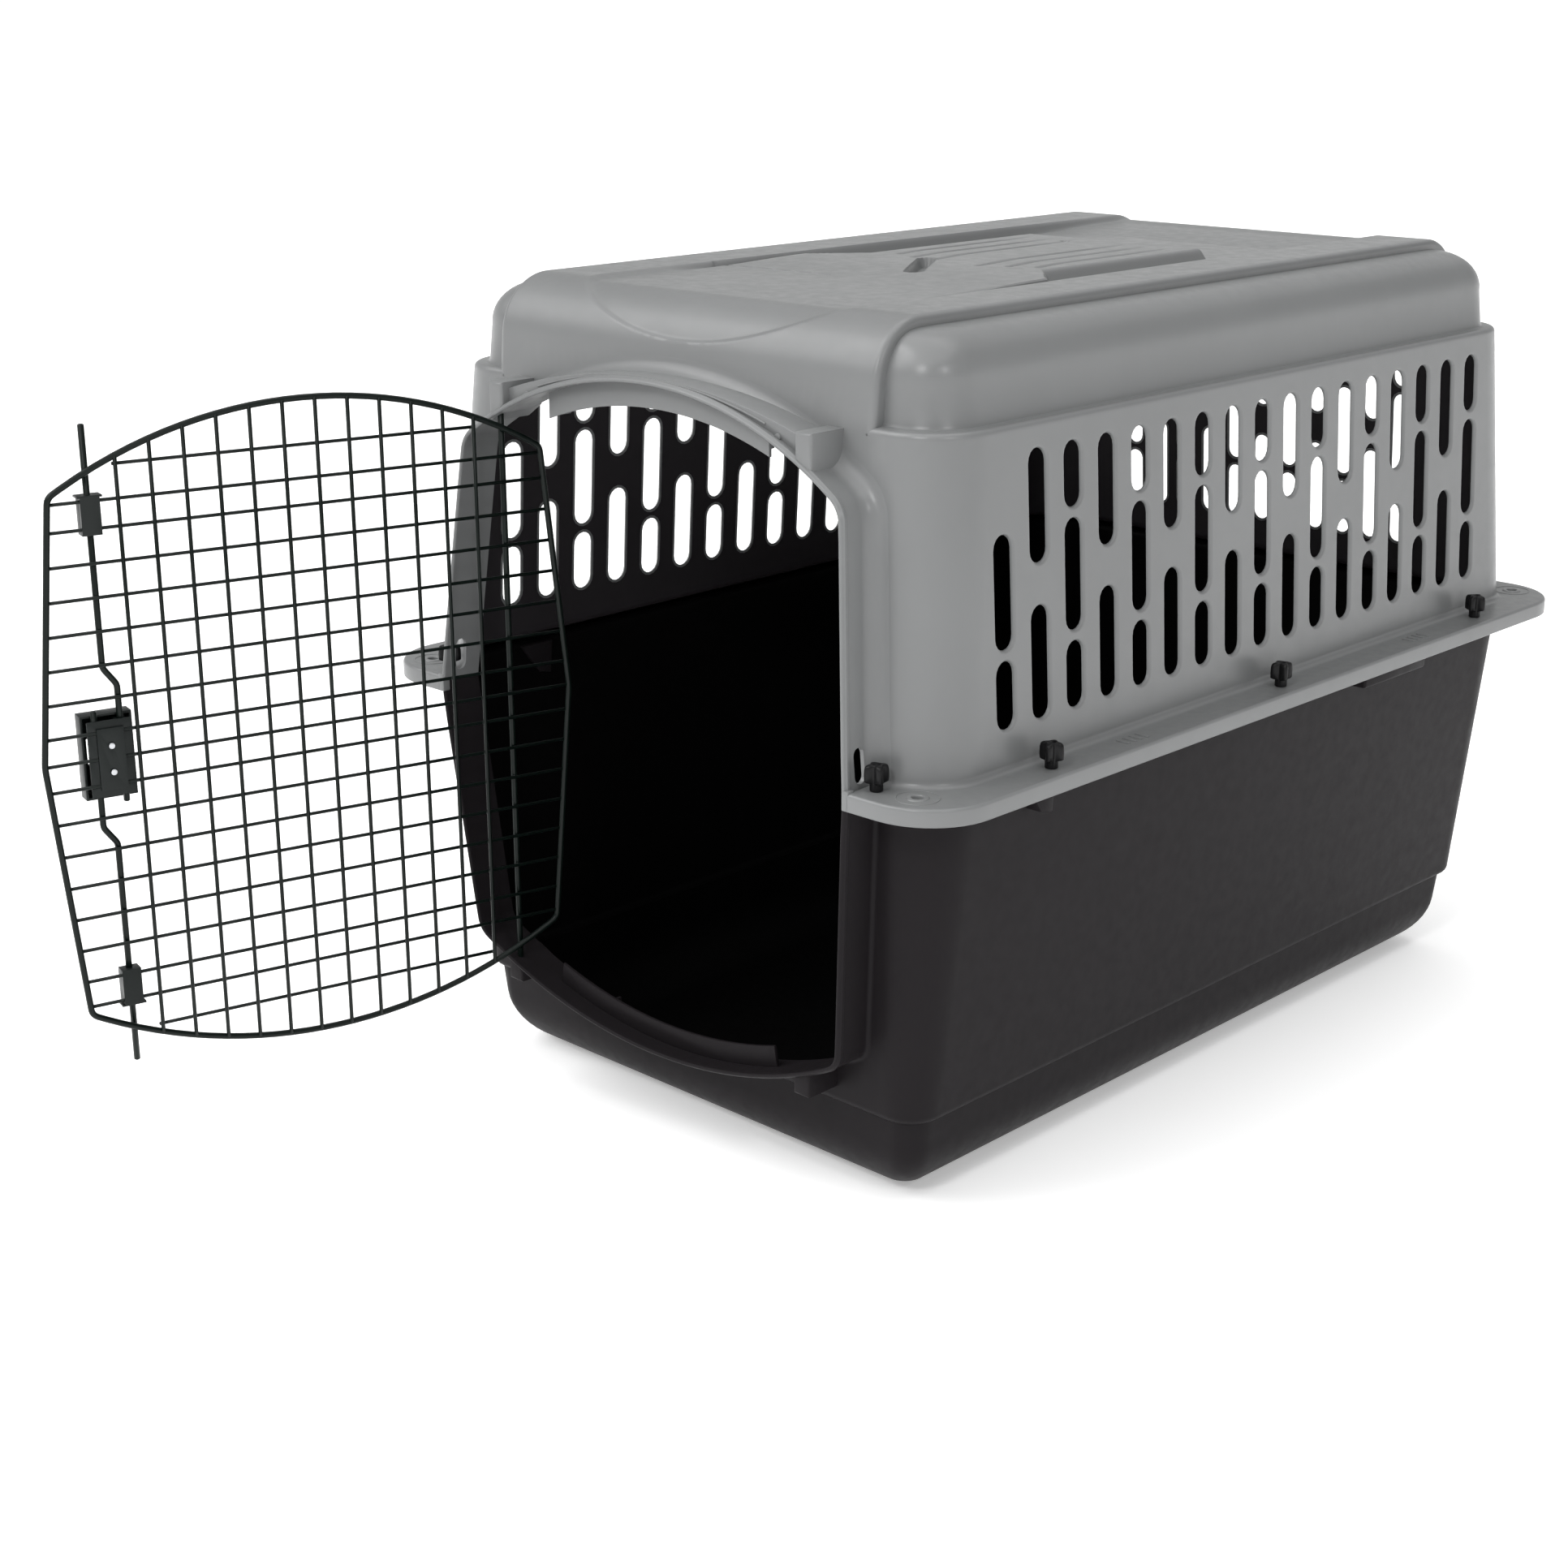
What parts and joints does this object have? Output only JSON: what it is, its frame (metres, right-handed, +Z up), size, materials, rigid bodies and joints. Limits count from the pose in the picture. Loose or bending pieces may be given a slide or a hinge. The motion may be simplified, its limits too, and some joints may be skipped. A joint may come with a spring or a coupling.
{
  "type": "pet transport carrier",
  "caption": "Rigid plastic pet carrier with slotted ventilated walls, upper and lower shells bolted at a flange, a roof grip and a hinged wire door held by a sprung squeeze latch.",
  "frame": {"origin": "centre of the tub's underside, on the floor", "axes": "+Z up, -Y towards the doorway, +X to the right when facing along +Y; the door is stored open, at joint value 0"},
  "size_m": [0.635, 1.2743, 0.6842],
  "materials": {
    "cover_plastic": "lightly grained moulded polypropylene, mid grey",
    "tub_plastic": "lightly grained moulded polypropylene, charcoal black",
    "knob_plastic": "moulded nylon, black",
    "wire_coat": "black powder coat on steel wire",
    "latch_plastic": "moulded plastic, near black",
    "zinc_steel": "zinc plated steel"
  },
  "bodies": {
    "kennel": {"bottom_shell": "tub_plastic", "top_shell": "cover_plastic", "shell_bolts": "zinc_steel"},
    "door": {"door_frame": "wire_coat", "door_upright_wires": "wire_coat", "door_cross_wires": "wire_coat", "hinge_rod": "wire_coat", "latch_casing": "latch_plastic", "latch_cover": "latch_plastic", "latch_screws": "zinc_steel", "latch_spring_upper": "zinc_steel", "latch_spring_lower": "zinc_steel", "rod_guide_upper": "latch_plastic", "rod_guide_lower": "latch_plastic"},
    "latch_upper": {"latch_rod_upper": "wire_coat", "latch_slider_upper": "latch_plastic"},
    "latch_lower": {"latch_rod_lower": "wire_coat", "latch_slider_lower": "latch_plastic"},
    "knob_01": {"knob_nut_01": "knob_plastic"},
    "knob_02": {"knob_nut_02": "knob_plastic"},
    "knob_03": {"knob_nut_03": "knob_plastic"},
    "knob_04": {"knob_nut_04": "knob_plastic"},
    "knob_05": {"knob_nut_05": "knob_plastic"},
    "knob_06": {"knob_nut_06": "knob_plastic"},
    "knob_07": {"knob_nut_07": "knob_plastic"},
    "knob_08": {"knob_nut_08": "knob_plastic"},
    "knob_09": {"knob_nut_09": "knob_plastic"},
    "knob_10": {"knob_nut_10": "knob_plastic"}
  },
  "joints": [
    {"name": "door_hinge", "type": "hinge", "parent": "kennel", "child": "door", "pos_m": [-0.169, -0.4343, 0.3485], "axis": [0, 0, 1], "range_deg": [-45, 104.6]},
    {"name": "latch_squeeze_upper", "type": "slide", "parent": "door", "child": "latch_upper", "axis": [0, 0, -1], "range_m": [0, 0.026], "stiffness_N_per_m": 200, "springref_m": -0.02, "deforming": ["latch_spring_upper"]},
    {"name": "latch_squeeze_lower", "type": "slide", "parent": "door", "child": "latch_lower", "axis": [0, 0, 1], "range_m": [0, 0.026], "stiffness_N_per_m": 200, "springref_m": -0.02, "deforming": ["latch_spring_lower"]},
    {"name": "knob_turn_01", "type": "hinge", "parent": "kennel", "child": "knob_01", "pos_m": [0.3, -0.309, 0.3655], "axis": [0, 0, 1], "continuous": true},
    {"name": "knob_turn_02", "type": "hinge", "parent": "kennel", "child": "knob_02", "pos_m": [0.3, -0.003, 0.3655], "axis": [0, 0, 1], "continuous": true},
    {"name": "knob_turn_03", "type": "hinge", "parent": "kennel", "child": "knob_03", "pos_m": [0.3, 0.315, 0.3655], "axis": [0, 0, 1], "continuous": true},
    {"name": "knob_turn_04", "type": "hinge", "parent": "kennel", "child": "knob_04", "pos_m": [-0.3, -0.309, 0.3655], "axis": [0, 0, 1], "continuous": true},
    {"name": "knob_turn_05", "type": "hinge", "parent": "kennel", "child": "knob_05", "pos_m": [-0.3, -0.003, 0.3655], "axis": [0, 0, 1], "continuous": true},
    {"name": "knob_turn_06", "type": "hinge", "parent": "kennel", "child": "knob_06", "pos_m": [-0.3, 0.315, 0.3655], "axis": [0, 0, 1], "continuous": true},
    {"name": "knob_turn_07", "type": "hinge", "parent": "kennel", "child": "knob_07", "pos_m": [0.2423, -0.4389, 0.3655], "axis": [0, 0, 1], "continuous": true},
    {"name": "knob_turn_08", "type": "hinge", "parent": "kennel", "child": "knob_08", "pos_m": [0.2423, 0.4389, 0.3655], "axis": [0, 0, 1], "continuous": true},
    {"name": "knob_turn_09", "type": "hinge", "parent": "kennel", "child": "knob_09", "pos_m": [-0.2423, -0.4389, 0.3655], "axis": [0, 0, 1], "continuous": true},
    {"name": "knob_turn_10", "type": "hinge", "parent": "kennel", "child": "knob_10", "pos_m": [-0.2423, 0.4389, 0.3655], "axis": [0, 0, 1], "continuous": true}
  ],
  "couplings": [
    {"joint": "latch_squeeze_lower", "follows": "latch_squeeze_upper", "ratio": 1}
  ]
}
